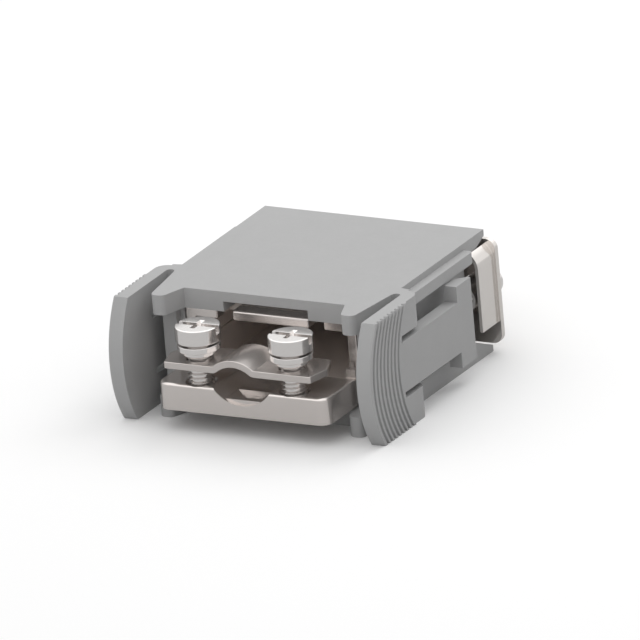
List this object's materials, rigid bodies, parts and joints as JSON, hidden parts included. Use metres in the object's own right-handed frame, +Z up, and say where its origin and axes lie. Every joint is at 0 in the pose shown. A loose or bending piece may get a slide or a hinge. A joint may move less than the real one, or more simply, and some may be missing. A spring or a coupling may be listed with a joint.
{
  "type": "D-sub connector module",
  "caption": "Rectangular connector insert with a D-shaped plug, a screening chamber, a screwed cable clamp and snap-in finger levers.",
  "frame": {"origin": "centre of the overall box, on the lower plate's outer face", "axes": "+X to the right seen from the cable side, +Y from the cable clamp to the mating face, +Z up from the lower plate"},
  "size_m": [0.0336, 0.0408, 0.0147],
  "materials": {
    "body_plastic": "fine moulded grey",
    "die_cast": "nickel-plated die casting",
    "sheet_metal": "nickel-plated sheet",
    "screw_steel": "bright nickel-plated steel",
    "insulator_plastic": "glass-filled black",
    "contact_gold": "gold-plated brass"
  },
  "bodies": {
    "module": {"contact_1": "contact_gold", "contact_2": "contact_gold", "contact_3": "contact_gold", "contact_4": "contact_gold", "contact_5": "contact_gold", "contact_6": "contact_gold", "contact_7": "contact_gold", "contact_8": "contact_gold", "contact_9": "contact_gold", "housing": "body_plastic", "insulator": "insulator_plastic", "lower_shell": "die_cast", "pillar_left": "screw_steel", "pillar_right": "screw_steel", "plug_shell": "sheet_metal", "rear_shell": "sheet_metal", "upper_shell": "die_cast"},
    "clamp": {"clamp_saddle": "sheet_metal", "spring_washer_left": "screw_steel", "spring_washer_right": "screw_steel", "retaining_ring_left": "screw_steel", "retaining_ring_right": "screw_steel"},
    "screw_left": {"clamp_screw_left": "screw_steel"},
    "screw_right": {"clamp_screw_right": "screw_steel"}
  },
  "joints": [
    {"name": "clamp_travel", "type": "slide", "parent": "module", "child": "clamp", "axis": [0, 0, -1], "range_m": [0, 0.0016]},
    {"name": "left_screw_turn", "type": "hinge", "parent": "clamp", "child": "screw_left", "pos_m": [-0.00595, -0.01777, 0.01075], "axis": [0, 0, -1], "range_deg": [0, 1155]},
    {"name": "right_screw_turn", "type": "hinge", "parent": "clamp", "child": "screw_right", "pos_m": [0.00595, -0.01777, 0.01075], "axis": [0, 0, -1], "range_deg": [0, 1155]}
  ],
  "couplings": [
    {"joint": "left_screw_turn", "follows": "clamp_travel", "rad_per_m": 12566},
    {"joint": "right_screw_turn", "follows": "clamp_travel", "rad_per_m": 12566}
  ]
}
